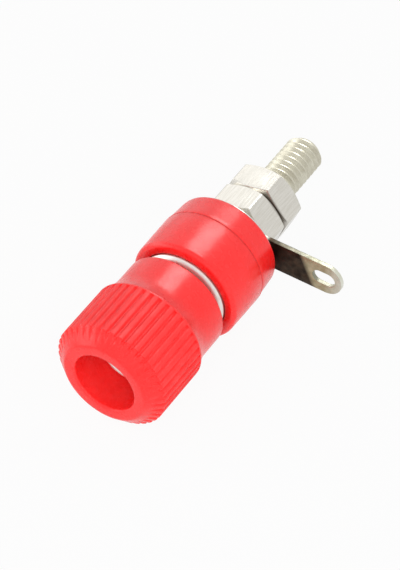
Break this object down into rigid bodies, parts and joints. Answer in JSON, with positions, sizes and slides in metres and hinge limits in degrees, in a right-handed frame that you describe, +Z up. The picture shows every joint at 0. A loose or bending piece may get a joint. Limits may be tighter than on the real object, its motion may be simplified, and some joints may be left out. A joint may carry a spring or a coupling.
{
  "type": "banana socket",
  "caption": "Panel socket for a banana plug: red insulated body, knurled screw-down knob over a tubular metal post, and a rear stud with nuts, washer and solder tag.",
  "frame": {"origin": "on the socket's axis, in the plane where the front and rear insulators meet, which is the front face of the panel it is clamped to", "axes": "-Y out of the socket's mouth to the user, +Y back along the stud, +X along the solder tag, +Z up"},
  "size_m": [0.0184, 0.0368, 0.012],
  "materials": {
    "red_plastic": "satin moulded",
    "nickel_brass": "nickel plated, turned",
    "plated_steel": "bright nickel plated",
    "tinned_brass": "tinned, dull"
  },
  "bodies": {
    "socket": {"post": "nickel_brass", "front_insulator": "red_plastic", "rear_insulator": "red_plastic", "washer": "plated_steel", "solder_tag": "tinned_brass", "clamp_nut": "plated_steel", "lock_nut": "plated_steel"},
    "insert": {"knob_insert": "nickel_brass"},
    "knob": {"clamp_knob": "red_plastic"}
  },
  "joints": [
    {"name": "knob_advance", "type": "slide", "parent": "socket", "child": "insert", "axis": [0, -1, 0], "range_m": [-0.00075, 0.0045]},
    {"name": "knob_turn", "type": "hinge", "parent": "insert", "child": "knob", "pos_m": [0, -0.0125, 0], "axis": [0, -1, 0], "range_deg": [-361, 2161]}
  ],
  "couplings": [
    {"joint": "knob_turn", "follows": "knob_advance", "rad_per_m": 8377.6}
  ]
}
